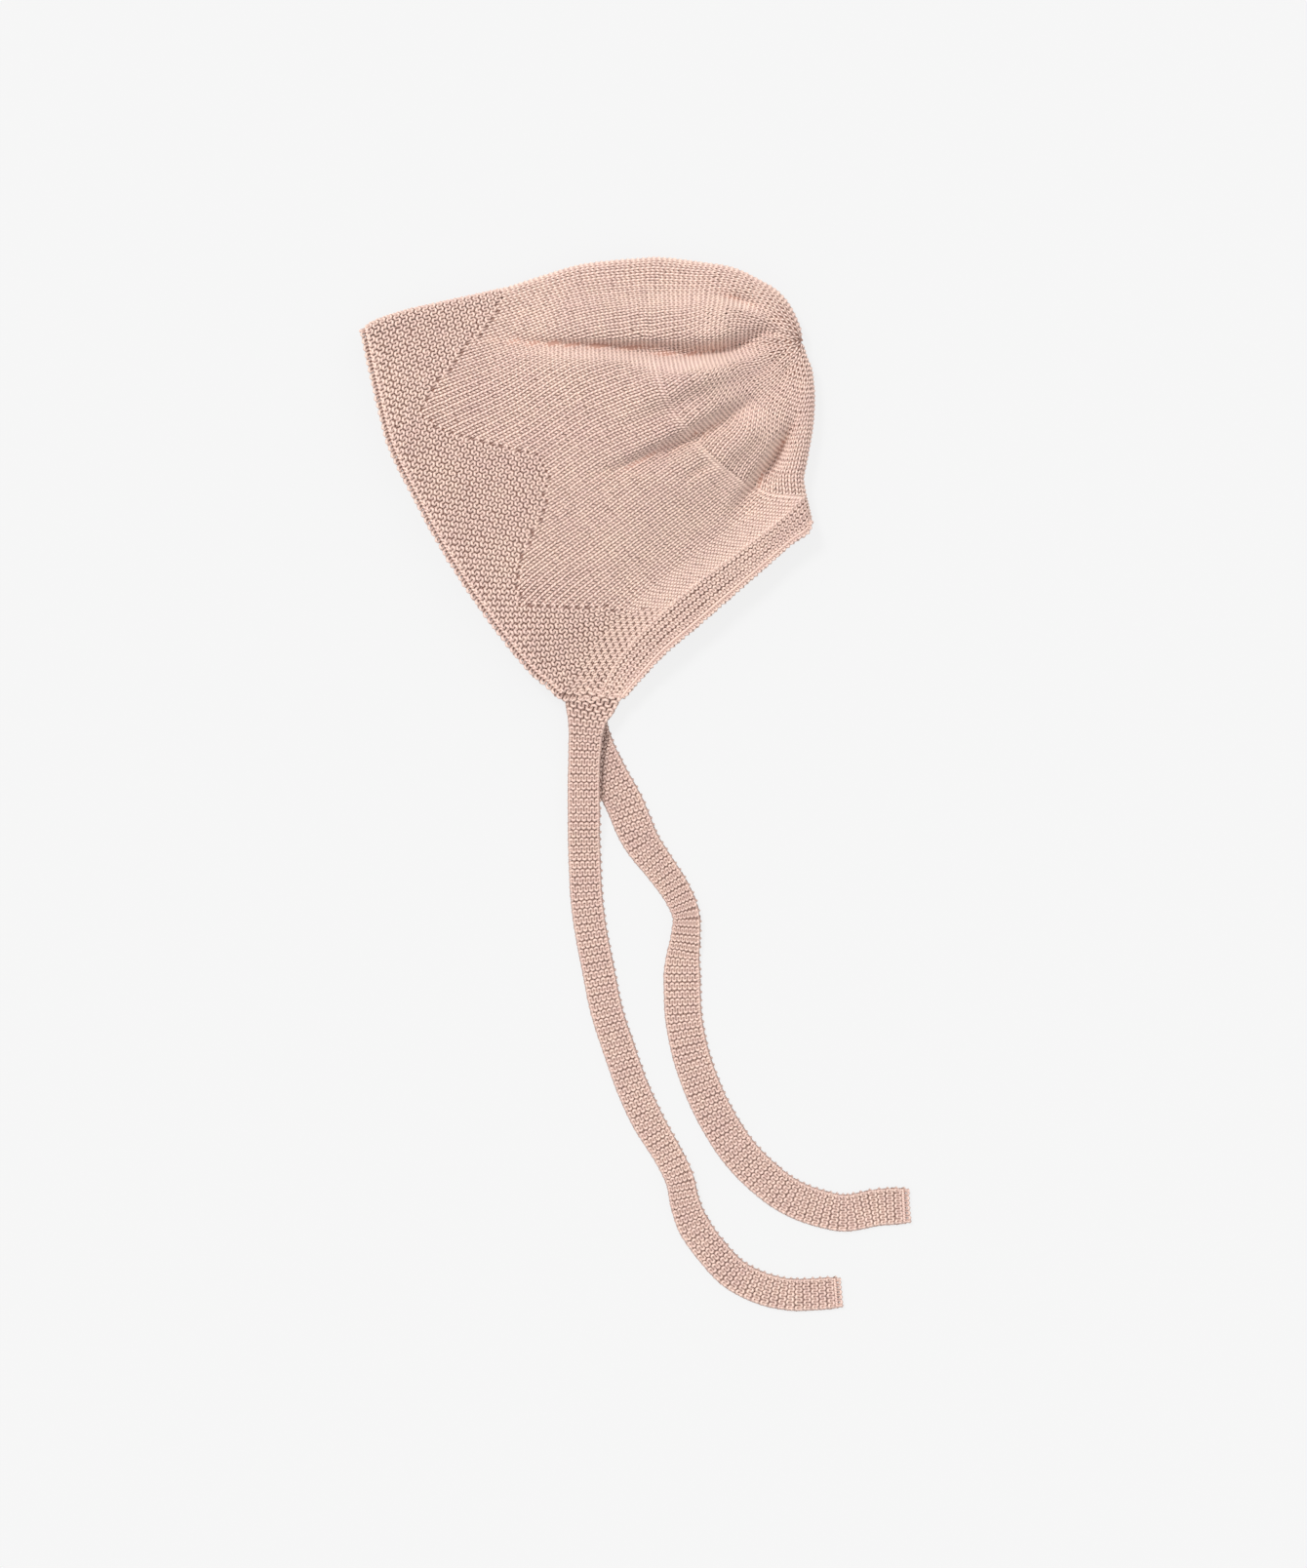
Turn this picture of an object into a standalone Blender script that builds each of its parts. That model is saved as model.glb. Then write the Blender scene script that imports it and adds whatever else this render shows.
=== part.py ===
"""Knitted baby bonnet lying on its side, folded flat down its centre line.

Metres, +Z up. The face opening looks towards -X and the top of the head towards +Y. The origin is on
the surface that the bonnet lies on, under the middle of the hood. The hood is one bent sheet in two
halves, near (upper) and far (lower), which every knitted panel shares as its middle surface.
"""
import math

import bpy
import numpy as np

# Driving sizes
HOOD_DEPTH = 0.150
HOOD_HEIGHT = 0.1455
CROWN_WALL = 0.0020
FACE_BAND_WALL = 0.0028
NECK_BAND_WALL = 0.0026
HALF_SPACING = 0.0076
FOOT_SPACING = 0.0046
FOOT_REACH = 0.034
CROWN_RISE = 0.0115
CROWN_SHOULDER = 0.042
CROWN_FACE_SLOPE = 0.075
CROWN_NECK_SLOPE = 0.052
FACE_RISE = 0.0026
FACE_ARCH_REACH = 0.035
CREASE_CLEARANCE = 0.010
CREASE_HALF_WIDTH = 0.004
CREASE_HEIGHT = 0.006
NECK_RIDGE = 0.0004
NECK_RIDGES = 3
PLEAT_HEIGHT = 0.0012
PLEAT_START = 0.005
PLEAT_REACH = 0.030
PLEATS = 7
TIE_WALL = 0.0026
NEAR_TIE_WIDTH = 0.0114
FAR_TIE_WIDTH = 0.0130
TIE_DROP = 0.200
TIE_DOME = 0.0004
PANEL_GAP = 0.0004
TIE_GAP = 0.0004

# Steps of the meshes
CURVE_STEPS = 400
LANES = 65
LANE_STEPS = 129
POLE_FAN = 2.0
POLE_FAN_FADE = 10
SPAN_STEPS = 24
CREASE_STEPS = 25
NEAR_COLUMNS = 26
FAR_COLUMNS = 9
FOLD_STEPS = 4
FOLD_LANE_SHARE = 0.70
NAPE_SPREAD = 1.3
POLE_ROWS = (0.06, 0.14, 0.25, 0.38, 0.52, 0.67, 0.83)
CROWN_ROWS_BELOW_NAPE = 8
BAND_ROWS = 7
TIE_STEP = 0.0052
TIE_COLUMNS = 4

# Fold line of the hood, from the face corner over the head and down the back to the nape
# share of depth, share of height
FOLD_LINE = (
    (0.002, 0.837), (0.021, 0.852), (0.056, 0.867), (0.107, 0.883), (0.158, 0.895),
    (0.310, 0.930), (0.391, 0.956), (0.489, 0.985), (0.613, 0.998), (0.662, 1.000),
    (0.735, 0.991), (0.816, 0.978),
    (0.878, 0.949), (0.919, 0.923), (0.947, 0.888), (0.968, 0.841), (0.974, 0.811),
    (0.981, 0.780), (0.994, 0.744), (1.000, 0.689), (0.998, 0.628), (0.991, 0.579),
    (0.981, 0.522), (0.976, 0.497), (0.983, 0.454), (0.994, 0.403),
)
POLE = (0.974, 0.811)

# Line where the neck band joins the hood, from the back fold to the foot of the ear flap
# share of depth, share of height
NECK_SEAM = (
    (0.983, 0.454), (0.921, 0.399), (0.835, 0.330), (0.750, 0.264),
    (0.673, 0.198), (0.613, 0.139), (0.566, 0.079), (0.524, 0.000),
)

# Free edge of the neck band, from the nape to the foot of the ear flap
# share of depth, share of height
NECK_EDGE = (
    (0.994, 0.403), (0.981, 0.378), (0.944, 0.352), (0.876, 0.291), (0.806, 0.229),
    (0.737, 0.167), (0.667, 0.106), (0.611, 0.044), (0.575, 0.000),
)

# Free edge round the face, from the face corner down and along the foot of the ear flap
# share of depth, share of height
FACE_EDGE = (
    (0.002, 0.837), (0.009, 0.815), (0.036, 0.692), (0.068, 0.568), (0.126, 0.445),
    (0.192, 0.322), (0.271, 0.198), (0.363, 0.075), (0.419, 0.022), (0.440, 0.002),
    (0.452, 0.000), (0.524, 0.000),
)

# Zigzag line where the garter band meets the plain crown
# share across from top fold to neck seam, share of the way from the pole to the face edge
ZIGZAG = (
    (0.000, 0.700), (0.050, 0.700), (0.090, 0.740), (0.130, 0.780), (0.170, 0.832),
    (0.215, 0.885), (0.235, 0.910), (0.300, 0.862), (0.360, 0.788), (0.450, 0.684),
    (0.500, 0.684), (0.560, 0.724), (0.610, 0.785), (0.645, 0.850), (0.690, 0.896),
    (0.720, 0.920), (0.800, 0.840), (0.860, 0.780), (0.940, 0.745), (1.000, 0.734),
)

# Soft folds of the near half, each an arc through a start, a middle and an end
# start x and y, middle x and y, end x and y (shares of depth and height), half width (share of
# CREASE_HALF_WIDTH), height (share of CREASE_HEIGHT), share of the way along where it is highest
CREASES = (
    (0.330, 0.890, 0.680, 0.882, 0.930, 0.880, 1.05, 0.63, 0.70),
    (0.300, 0.812, 0.700, 0.783, 0.930, 0.868, 0.90, -1.10, 0.66),
    (0.960, 0.782, 0.760, 0.742, 0.560, 0.610, 1.40, 0.50, 0.45),
    (0.880, 0.690, 0.720, 0.612, 0.530, 0.500, 1.20, -0.50, 0.35),
    (0.930, 0.640, 0.830, 0.540, 0.700, 0.450, 1.15, 0.23, 0.40),
    (0.975, 0.640, 0.900, 0.530, 0.780, 0.415, 0.95, -0.53, 0.35),
    (0.790, 0.915, 0.830, 0.895, 0.880, 0.870, 0.50, -0.23, 0.50),
    (0.240, 0.800, 0.420, 0.690, 0.620, 0.690, 2.25, 0.20, 0.50),
)

# Routes of the ties, from the foot of the flap to the free end, measured from the foot's middle
# x and y (shares of TIE_DROP), height of the underside (share of FOOT_SPACING)
NEAR_TIE_ROUTE = (
    (0.000, 0.000, 1.00), (-0.007, -0.032, 0.91), (-0.011, -0.077, 0.72), (-0.013, -0.134, 0.67),
    (-0.013, -0.192, 0.65), (-0.013, -0.227, 0.43), (-0.012, -0.262, 0.15), (-0.009, -0.326, 0.00),
    (-0.001, -0.387, 0.00), (0.011, -0.449, 0.00), (0.024, -0.513, 0.00), (0.045, -0.578, 0.00),
    (0.067, -0.640, 0.00), (0.093, -0.696, 0.00), (0.123, -0.747, 0.04), (0.144, -0.789, 0.26),
    (0.153, -0.829, 0.22), (0.169, -0.870, 0.04), (0.197, -0.909, 0.00), (0.232, -0.946, 0.00),
    (0.277, -0.970, 0.00), (0.323, -0.981, 0.00), (0.366, -0.981, 0.00), (0.406, -0.978, 0.00),
)
FAR_TIE_ROUTE = (
    (0.000, 0.000, 0.00), (-0.001, -0.038, 0.00), (0.008, -0.080, 0.00), (0.027, -0.123, 0.00),
    (0.053, -0.171, 0.00), (0.080, -0.232, 0.00), (0.114, -0.280, 0.00), (0.139, -0.317, 0.07),
    (0.155, -0.355, 0.30), (0.154, -0.394, 0.30), (0.149, -0.435, 0.07), (0.149, -0.486, 0.00),
    (0.152, -0.531, 0.00), (0.163, -0.585, 0.00), (0.181, -0.638, 0.00), (0.205, -0.689, 0.00),
    (0.238, -0.741, 0.00), (0.278, -0.784, 0.00), (0.323, -0.818, 0.00), (0.371, -0.838, 0.00),
    (0.419, -0.847, 0.00), (0.470, -0.838, 0.00), (0.518, -0.835, 0.00),
)

# Width of each tie along its length
# share of the way from the foot to the free end, share of the tie's width
NEAR_TIE_SHAPE = (
    (0.000, 1.72), (0.013, 1.58), (0.030, 1.26), (0.052, 1.06), (0.086, 1.00), (0.600, 1.00),
    (0.655, 0.91), (0.715, 0.90), (0.760, 1.00), (1.000, 1.00),
)
FAR_TIE_SHAPE = (
    (0.000, 1.50), (0.013, 1.15), (0.029, 0.97), (0.050, 0.93), (0.104, 1.00), (0.200, 1.03),
    (0.267, 0.88), (0.317, 0.80), (0.358, 0.75), (0.392, 0.83), (0.442, 1.00), (1.000, 1.00),
)

# Colours of the knit: red, green, blue, then roughness
CROWN_LOOK = (0.72, 0.48, 0.40, 0.85)
GARTER_LOOK = (0.68, 0.44, 0.36, 0.88)
TIE_LOOK = (0.66, 0.43, 0.36, 0.88)


def clear_scene():
    for old in list(bpy.data.objects):
        bpy.data.objects.remove(old)


def smooth_step(x):
    """A ramp from 0 to 1 with flat ends."""
    t = np.clip(x, 0.0, 1.0)
    return t * t * (3.0 - 2.0 * t)


def to_plan(rows):
    """Shares of depth and height as plan points in metres."""
    shares = np.array(rows)[:, :2]
    return (shares - 0.5) * (HOOD_DEPTH, HOOD_HEIGHT)


def run_length(points):
    steps = np.linalg.norm(np.diff(points, axis=0), axis=1)
    return np.concatenate(([0.0], np.cumsum(steps)))


def resample(points, count):
    """The same line with points at equal lengths along it."""
    length = run_length(points)
    even = np.linspace(0.0, length[-1], count)
    return np.stack([np.interp(even, length, axis) for axis in points.T], axis=1)


def smooth_curve(points, count):
    """A smooth curve through the points, with its own points at equal lengths."""
    ends = np.vstack([2 * points[0] - points[1], points, 2 * points[-1] - points[-2]])
    steps = np.linspace(0.0, 1.0, SPAN_STEPS, endpoint=False)[:, None]
    spans = []
    for before, start, end, after in zip(ends, ends[1:], ends[2:], ends[3:]):
        spans.append(0.5 * (2 * start + (end - before) * steps
                            + (2 * before - 5 * start + 4 * end - after) * steps ** 2
                            + (3 * start - before - 3 * end + after) * steps ** 3))
    spans.append(points[-1:])
    return resample(np.vstack(spans), count)


def inset(line, distance):
    """The line moved to its right-hand side, which is inside the hood."""
    along = np.gradient(line, axis=0)
    along /= np.linalg.norm(along, axis=1)[:, None]
    inward = np.stack([along[:, 1], -along[:, 0]], axis=1)
    return line + inward * distance


def nearest(line, point):
    return int(np.argmin(np.linalg.norm(line - point, axis=1)))


def distance_to_line(points, line):
    """Shortest plan distance from each point to the segments of a line."""
    start = line[:-1]
    span = line[1:] - start
    size = (span ** 2).sum(axis=1)
    offset = points[:, None, :] - start[None]
    share = np.clip((offset * span[None]).sum(axis=2) / size[None], 0.0, 1.0)
    gap = offset - share[..., None] * span[None]
    return np.sqrt((gap ** 2).sum(axis=2)).min(axis=1)


class Hood:
    """Plan lanes from the pole to the face edge, and the heights of the two halves."""

    def __init__(self):
        fold = inset(smooth_curve(to_plan(FOLD_LINE), CURVE_STEPS), CROWN_WALL / 2)
        pole_at = nearest(fold, to_plan([POLE])[0])
        seam = to_plan(NECK_SEAM)
        seam_at = nearest(fold, seam[0])
        back = fold[pole_at:seam_at + 1]
        self.fold = fold
        self.back = fold[pole_at:]
        self.pole = fold[pole_at]
        self.foot = to_plan(FACE_EDGE[-1:])[0]
        self.top = resample(fold[:pole_at + 1][::-1], CURVE_STEPS)
        below = smooth_curve(np.vstack([back[-1:], seam[1:]]), CURVE_STEPS)
        self.side = resample(np.vstack([back, below[1:]]), CURVE_STEPS)
        self.side_length = run_length(self.side)[-1]
        self.nape_share = run_length(back)[-1] / self.side_length
        edge = to_plan(FACE_EDGE)
        self.face = smooth_curve(np.vstack([fold[:1], edge[1:]]), CURVE_STEPS)
        neck_edge = to_plan(NECK_EDGE)
        self.neck_edge = smooth_curve(np.vstack([fold[-1:], neck_edge[1:]]), CURVE_STEPS)
        self.lanes = self.make_lanes()
        self.width = np.linalg.norm(np.diff(self.lanes, axis=0), axis=2).sum(axis=0)

    def make_lanes(self):
        """Knit columns blended between the top fold and the back and neck line."""
        share = np.linspace(0.0, 1.0, CURVE_STEPS)[:, None]
        top_bulge = self.top - ((1 - share) * self.pole + share * self.top[-1])
        side_bulge = self.side - ((1 - share) * self.pole + share * self.side[-1])
        sharp = 1 + POLE_FAN * (1 - share) ** POLE_FAN_FADE
        lanes = []
        for across in np.linspace(0.0, 1.0, LANES):
            end = self.face[int(round(across * (CURVE_STEPS - 1)))]
            straight = (1 - share) * self.pole + share * end
            lane = straight + (1 - across) ** sharp * top_bulge + across ** sharp * side_bulge
            lanes.append(resample(lane, LANE_STEPS))
        return np.array(lanes)

    def width_at(self, along):
        return np.interp(along, np.linspace(0.0, 1.0, LANE_STEPS), self.width)

    def plan(self, across, along):
        """Plan point at shares across (top fold to seam) and along (pole to face edge)."""
        row = np.clip(across, 0.0, 1.0) * (LANES - 1)
        column = np.clip(along, 0.0, 1.0) * (LANE_STEPS - 1)
        row_at = np.minimum(row.astype(int), LANES - 2)
        column_at = np.minimum(column.astype(int), LANE_STEPS - 2)
        u = (row - row_at)[:, None]
        v = (column - column_at)[:, None]
        upper = (1 - v) * self.lanes[row_at, column_at] + v * self.lanes[row_at, column_at + 1]
        lower = (1 - v) * self.lanes[row_at + 1, column_at] + v * self.lanes[row_at + 1, column_at + 1]
        return (1 - u) * upper + u * lower

    def heights(self, points, on_fold):
        """Heights of the near and far halves' middle surface over plan points."""
        base = FACE_BAND_WALL / 2
        edge = distance_to_line(points, self.fold)
        edge[on_fold] = 0.0
        foot = np.linalg.norm(points - self.foot, axis=1)
        spacing = FOOT_SPACING + (HALF_SPACING - FOOT_SPACING) * smooth_step(foot / FOOT_REACH)
        radius = spacing / 2
        bent = 1.0 - np.clip(edge / radius, 0.0, 1.0)
        open_share = np.sqrt(1.0 - bent ** 2)
        near = base + spacing * (1 + open_share) / 2
        far = base + spacing * (1 - open_share) / 2
        return near + self.relief(points, edge), far

    def relief(self, points, edge):
        """Rise of the near half above its flat place: crown, face arch, folds and pleats."""
        off_top = smooth_step(distance_to_line(points, self.top) / CROWN_SHOULDER)
        off_back = smooth_step(distance_to_line(points, self.back) / CROWN_SHOULDER)
        face_way = distance_to_line(points, self.face)
        neck_way = distance_to_line(points, self.neck_edge)
        inner = smooth_step(face_way / CROWN_FACE_SLOPE) * smooth_step(neck_way / CROWN_NECK_SLOPE)
        arch = smooth_step(edge / FACE_ARCH_REACH) * smooth_step(neck_way / CROWN_NECK_SLOPE)
        rise = CROWN_RISE * off_top * off_back * inner + FACE_RISE * arch
        for crease in CREASES:
            rise = rise + crease_height(points, crease) * smooth_step(edge / CREASE_CLEARANCE)
        from_pole = points - self.pole
        reach = np.linalg.norm(from_pole, axis=1)
        turn = np.arctan2(from_pole[:, 1], -from_pole[:, 0])
        fade = smooth_step(reach / PLEAT_START - 1) * (1 - smooth_step(reach / PLEAT_REACH))
        rise = rise + PLEAT_HEIGHT * fade * smooth_step(edge / CREASE_CLEARANCE) * np.cos(2 * PLEATS * turn)
        return rise


def crease_height(points, crease):
    """Height of one fold, a soft ridge or hollow that fades to its ends."""
    start, middle, end = to_plan((crease[0:2], crease[2:4], crease[4:6]))
    half_width = crease[6] * CREASE_HALF_WIDTH
    height = crease[7] * CREASE_HEIGHT
    place = crease[8]
    share = np.linspace(0.0, 1.0, CREASE_STEPS)[:, None]
    control = 2 * middle - (start + end) / 2
    line = (1 - share) ** 2 * start + 2 * share * (1 - share) * control + share ** 2 * end
    gap = np.linalg.norm(points[:, None, :] - line[None], axis=2)
    at = gap.argmin(axis=1) / (len(line) - 1)
    fade = np.where(at < place, smooth_step(at / place), smooth_step((1 - at) / (1 - place)))
    return height * fade * np.exp(-(gap.min(axis=1) / half_width) ** 2)


def zigzag_at(across):
    table = np.array(ZIGZAG)
    return np.interp(across, table[:, 0], table[:, 1])


def column_shares(count, both_ends):
    """Shares of arc length across the hood, closer together round the folds."""
    arc = math.pi / 4 * HALF_SPACING
    lane = FOLD_LANE_SHARE * HOOD_HEIGHT
    fine = np.linspace(0.0, arc / lane, FOLD_STEPS + 1)
    last = 1.0 - fine[-1] if both_ends else 1.0
    middle = np.linspace(fine[-1], last, count + 1)[1:-1]
    tail = 1.0 - fine[::-1]
    return np.concatenate([fine, middle, tail])


def plan_share(arc_share, width, closed_below):
    """Plan share across the hood for a share of arc length, given the rounded folds."""
    radius = min(HALF_SPACING / 2, width / 4)
    extra = (math.pi / 2 - 1) * radius
    arc = math.pi / 2 * radius
    total = width + extra * (2 if closed_below else 1)
    out = []
    for share in arc_share:
        run = share * total
        if run < arc:
            place = radius * (1 - math.cos(run / radius))
        elif closed_below and run > total - arc:
            place = width - radius * (1 - math.cos((total - run) / radius))
        else:
            place = run - extra
        out.append(place / width)
    return np.clip(out, 0.0, 1.0)


def seam_rows(hood):
    """Shares along the side line below the nape, closer together round the nape's fold."""
    radius = HALF_SPACING / 2
    turn = np.linspace(0.0, math.pi / 2, FOLD_STEPS + 1)[1:]
    fine = hood.nape_share + NAPE_SPREAD * radius * (1 - np.cos(turn)) / hood.side_length
    crown_end = zigzag_at(1.0)
    crown = np.linspace(fine[-1], crown_end, CROWN_ROWS_BELOW_NAPE + 1)[1:]
    band = np.linspace(crown_end, 1.0, BAND_ROWS + 1)[1:]
    return np.concatenate([fine, crown]), band


def sheet_points(hood, near, across, along, on_fold):
    """Middle surface points of one half at plan shares."""
    plan = hood.plan(across, along)
    near_z, far_z = hood.heights(plan, on_fold)
    return np.column_stack([plan, near_z if near else far_z])


def panel_mesh(hood, name, along_of, row_shares, with_pole):
    """Open sheet over both halves, joined at the top fold and above the nape."""
    near_cols = column_shares(NEAR_COLUMNS, True)
    far_cols = column_shares(FAR_COLUMNS, True)
    verts = []
    rows = []
    if with_pole:
        pole_z = hood.heights(hood.pole[None], np.array([True]))[0]
        verts.append((*hood.pole, pole_z[0]))
    for share in row_shares:
        side_along = along_of(np.array([1.0]), share)[0]
        closed = side_along <= hood.nape_share + 1e-6
        width = hood.width_at(side_along)
        row = []
        for near, cols in ((False, far_cols[::-1]), (True, near_cols)):
            across = plan_share(cols, width, closed)
            along = along_of(across, share)
            on_fold = across <= 1e-9
            if closed:
                on_fold = on_fold | (across >= 1 - 1e-9)
            points = sheet_points(hood, near, across, along, on_fold)
            for point in points[1:] if near else points:
                row.append(len(verts))
                verts.append(tuple(point))
        if closed:
            verts.pop()
            row[-1] = row[0]
        rows.append(row)
    faces = []
    if with_pole:
        for a, b in zip(rows[0], rows[0][1:]):
            faces.append((0, a, b))
    for upper, lower in zip(rows, rows[1:]):
        for a, b, c, d in zip(upper, upper[1:], lower[1:], lower):
            faces.append((a, d, c, b))
    mesh = bpy.data.meshes.new(name)
    mesh.from_pydata(verts, [], faces)
    return mesh


def make_crown(hood):
    """Plain knitted hood from the pole to the zigzag line."""
    below, _ = seam_rows(hood)
    end = zigzag_at(1.0)
    above = hood.nape_share * np.array(POLE_ROWS + (1.0,))
    shares = np.concatenate([above, below]) / end
    gap = PANEL_GAP / 2 / hood.side_length

    def along_of(across, share):
        return share * (zigzag_at(across) - gap)

    return panel_mesh(hood, "crown", along_of, shares, True)


def make_face_band(hood):
    """Garter band from the zigzag line to the face edge and the foot of the flap."""
    _, band = seam_rows(hood)
    start = zigzag_at(1.0)
    shares = np.concatenate([[0.0], (band - start) / (1 - start)])
    gap = PANEL_GAP / 2 / hood.side_length

    def along_of(across, share):
        first = zigzag_at(across) + gap
        return first + share * (1 - first)

    return panel_mesh(hood, "face_band", along_of, shares, False)


def make_neck_band(hood):
    """Ridged strip along the neck, bent round the nape."""
    below, band = seam_rows(hood)
    stations = np.concatenate([[hood.nape_share], below, band])
    start = (stations - hood.nape_share) / (1 - hood.nape_share)
    inner = hood.plan(np.ones(len(stations)), stations)
    length = np.linspace(0.0, 1.0, CURVE_STEPS)
    outer = np.stack([np.interp(start, length, axis) for axis in hood.neck_edge.T], axis=1)
    strip = np.linalg.norm(outer - inner, axis=1)
    ridge = NECK_RIDGE * np.array([0.0] + [0.0, 1.0] * NECK_RIDGES + [0.0])
    verts = []
    loops = []
    for near in (False, True):
        for at in range(len(stations)):
            if near and at == 0:
                continue
            shares = np.linspace(PANEL_GAP / strip[at], 1.0, 2 * NECK_RIDGES + 2)
            plan = inner[at] + shares[:, None] * (outer[at] - inner[at])
            near_z, far_z = hood.heights(plan, np.full(len(plan), at == 0))
            height = near_z + ridge * (at > FOLD_STEPS) if near else far_z
            loops.append((near, at, len(verts)))
            verts.extend(tuple(point) for point in np.column_stack([plan, height]))
    order = [first for near, at, first in sorted(loops, key=lambda item: item[1] * (1 if item[0] else -1))]
    faces = []
    for a, b in zip(order, order[1:]):
        for step in range(2 * NECK_RIDGES + 1):
            faces.append((a + step, b + step, b + step + 1, a + step + 1))
    mesh = bpy.data.meshes.new("neck_band")
    mesh.from_pydata(verts, [], faces)
    return mesh


def make_tie(name, hood, route, shape, width):
    """Flat knitted tie laid along its route, slightly domed across."""
    corner = to_plan(FACE_EDGE[-3:-2])[0]
    outer = hood.neck_edge[-1]
    root = np.array([(corner[0] + outer[0]) / 2, hood.foot[1] - TIE_GAP, TIE_WALL / 2])
    points = np.array(route) * (TIE_DROP, TIE_DROP, FOOT_SPACING) + root
    length = run_length(points)[-1]
    line = smooth_curve(points, int(round(length / TIE_STEP)) + 1)
    run = run_length(line)
    along = np.gradient(line[:, :2], axis=0)
    along /= np.linalg.norm(along, axis=1)[:, None]
    along[0] = (0.0, -1.0)
    across = np.stack([-along[:, 1], along[:, 0]], axis=1)
    table = np.array(shape)
    half = width / 2 * np.interp(run / run[-1], table[:, 0], table[:, 1])
    verts = []
    for at, place in enumerate(line):
        for share in np.linspace(-1.0, 1.0, TIE_COLUMNS + 1):
            x, y = place[:2] + share * half[at] * across[at]
            dome = TIE_DOME * (1 - share ** 2)
            verts.append((x, y, max(place[2], TIE_WALL / 2) + dome))
    faces = []
    row = TIE_COLUMNS + 1
    for at in range(len(line) - 1):
        for step in range(TIE_COLUMNS):
            a = at * row + step
            faces.append((a, a + row, a + row + 1, a + 1))
    mesh = bpy.data.meshes.new(name)
    mesh.from_pydata(verts, [], faces)
    return mesh


def knit_material(name, look):
    material = bpy.data.materials.new(name)
    material.use_nodes = True
    shader = material.node_tree.nodes["Principled BSDF"]
    shader.inputs["Base Color"].default_value = (*look[:3], 1.0)
    shader.inputs["Roughness"].default_value = look[3]
    shader.inputs["Metallic"].default_value = 0.0
    material.diffuse_color = (*look[:3], 1.0)
    return material


def add_piece(collection, mesh, wall, material):
    """Put an open sheet in the scene and give it its wall."""
    mesh.validate()
    mesh.shade_smooth()
    mesh.materials.append(material)
    piece = bpy.data.objects.new(mesh.name, mesh)
    collection.objects.link(piece)
    solid = piece.modifiers.new("wall", "SOLIDIFY")
    solid.thickness = wall
    solid.offset = 0.0
    solid.use_even_offset = True
    solid.use_rim = True
    return piece


def main():
    clear_scene()
    collection = bpy.data.collections.new("baby_bonnet")
    bpy.context.scene.collection.children.link(collection)
    hood = Hood()
    crown_knit = knit_material("crown_knit", CROWN_LOOK)
    garter_knit = knit_material("garter_knit", GARTER_LOOK)
    neck_knit = knit_material("neck_knit", GARTER_LOOK)
    near_tie_knit = knit_material("near_tie_knit", TIE_LOOK)
    far_tie_knit = knit_material("far_tie_knit", TIE_LOOK)
    near_tie = make_tie("near_tie", hood, NEAR_TIE_ROUTE, NEAR_TIE_SHAPE, NEAR_TIE_WIDTH)
    far_tie = make_tie("far_tie", hood, FAR_TIE_ROUTE, FAR_TIE_SHAPE, FAR_TIE_WIDTH)
    add_piece(collection, make_crown(hood), CROWN_WALL, crown_knit)
    add_piece(collection, make_face_band(hood), FACE_BAND_WALL, garter_knit)
    add_piece(collection, make_neck_band(hood), NECK_BAND_WALL, neck_knit)
    add_piece(collection, near_tie, TIE_WALL, near_tie_knit)
    add_piece(collection, far_tie, TIE_WALL, far_tie_knit)


main()
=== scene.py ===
import math

import bpy
import numpy as np
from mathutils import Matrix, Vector


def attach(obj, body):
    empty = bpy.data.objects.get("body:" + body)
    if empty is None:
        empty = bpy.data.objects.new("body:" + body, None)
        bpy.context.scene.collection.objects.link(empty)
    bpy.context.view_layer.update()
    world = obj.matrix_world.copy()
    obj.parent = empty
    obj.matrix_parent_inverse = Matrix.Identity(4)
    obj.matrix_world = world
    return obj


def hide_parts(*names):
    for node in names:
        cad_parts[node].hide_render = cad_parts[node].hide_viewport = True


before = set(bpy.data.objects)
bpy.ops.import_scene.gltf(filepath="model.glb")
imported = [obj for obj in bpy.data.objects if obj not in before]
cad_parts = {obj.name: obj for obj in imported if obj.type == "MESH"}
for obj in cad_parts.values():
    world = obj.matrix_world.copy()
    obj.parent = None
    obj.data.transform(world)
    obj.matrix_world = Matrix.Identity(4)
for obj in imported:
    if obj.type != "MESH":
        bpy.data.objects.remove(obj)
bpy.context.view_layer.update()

# Sizes of the solids, repeated from the part's source, in metres
HOOD_DEPTH = 0.150
HOOD_HEIGHT = 0.1455
CROWN_WALL = 0.0020
FACE_BAND_WALL = 0.0028
HALF_SPACING = 0.0076
FOOT_SPACING = 0.0046
FOOT_REACH = 0.034
CROWN_RISE = 0.0115
CROWN_SHOULDER = 0.042
CROWN_FACE_SLOPE = 0.075
CROWN_NECK_SLOPE = 0.052
FACE_RISE = 0.0026
FACE_ARCH_REACH = 0.035
CREASE_CLEARANCE = 0.010
PLEAT_HEIGHT = 0.0012
PLEAT_START = 0.005
PLEAT_REACH = 0.030
PLEATS = 7
TIE_WALL = 0.0026
NEAR_TIE_WIDTH = 0.0114
FAR_TIE_WIDTH = 0.0130
TIE_DROP = 0.200
TIE_GAP = 0.0004
CURVE_STEPS = 400
LANES = 65
LANE_STEPS = 129
POLE_FAN = 2.0
POLE_FAN_FADE = 10
SPAN_STEPS = 24

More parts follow.
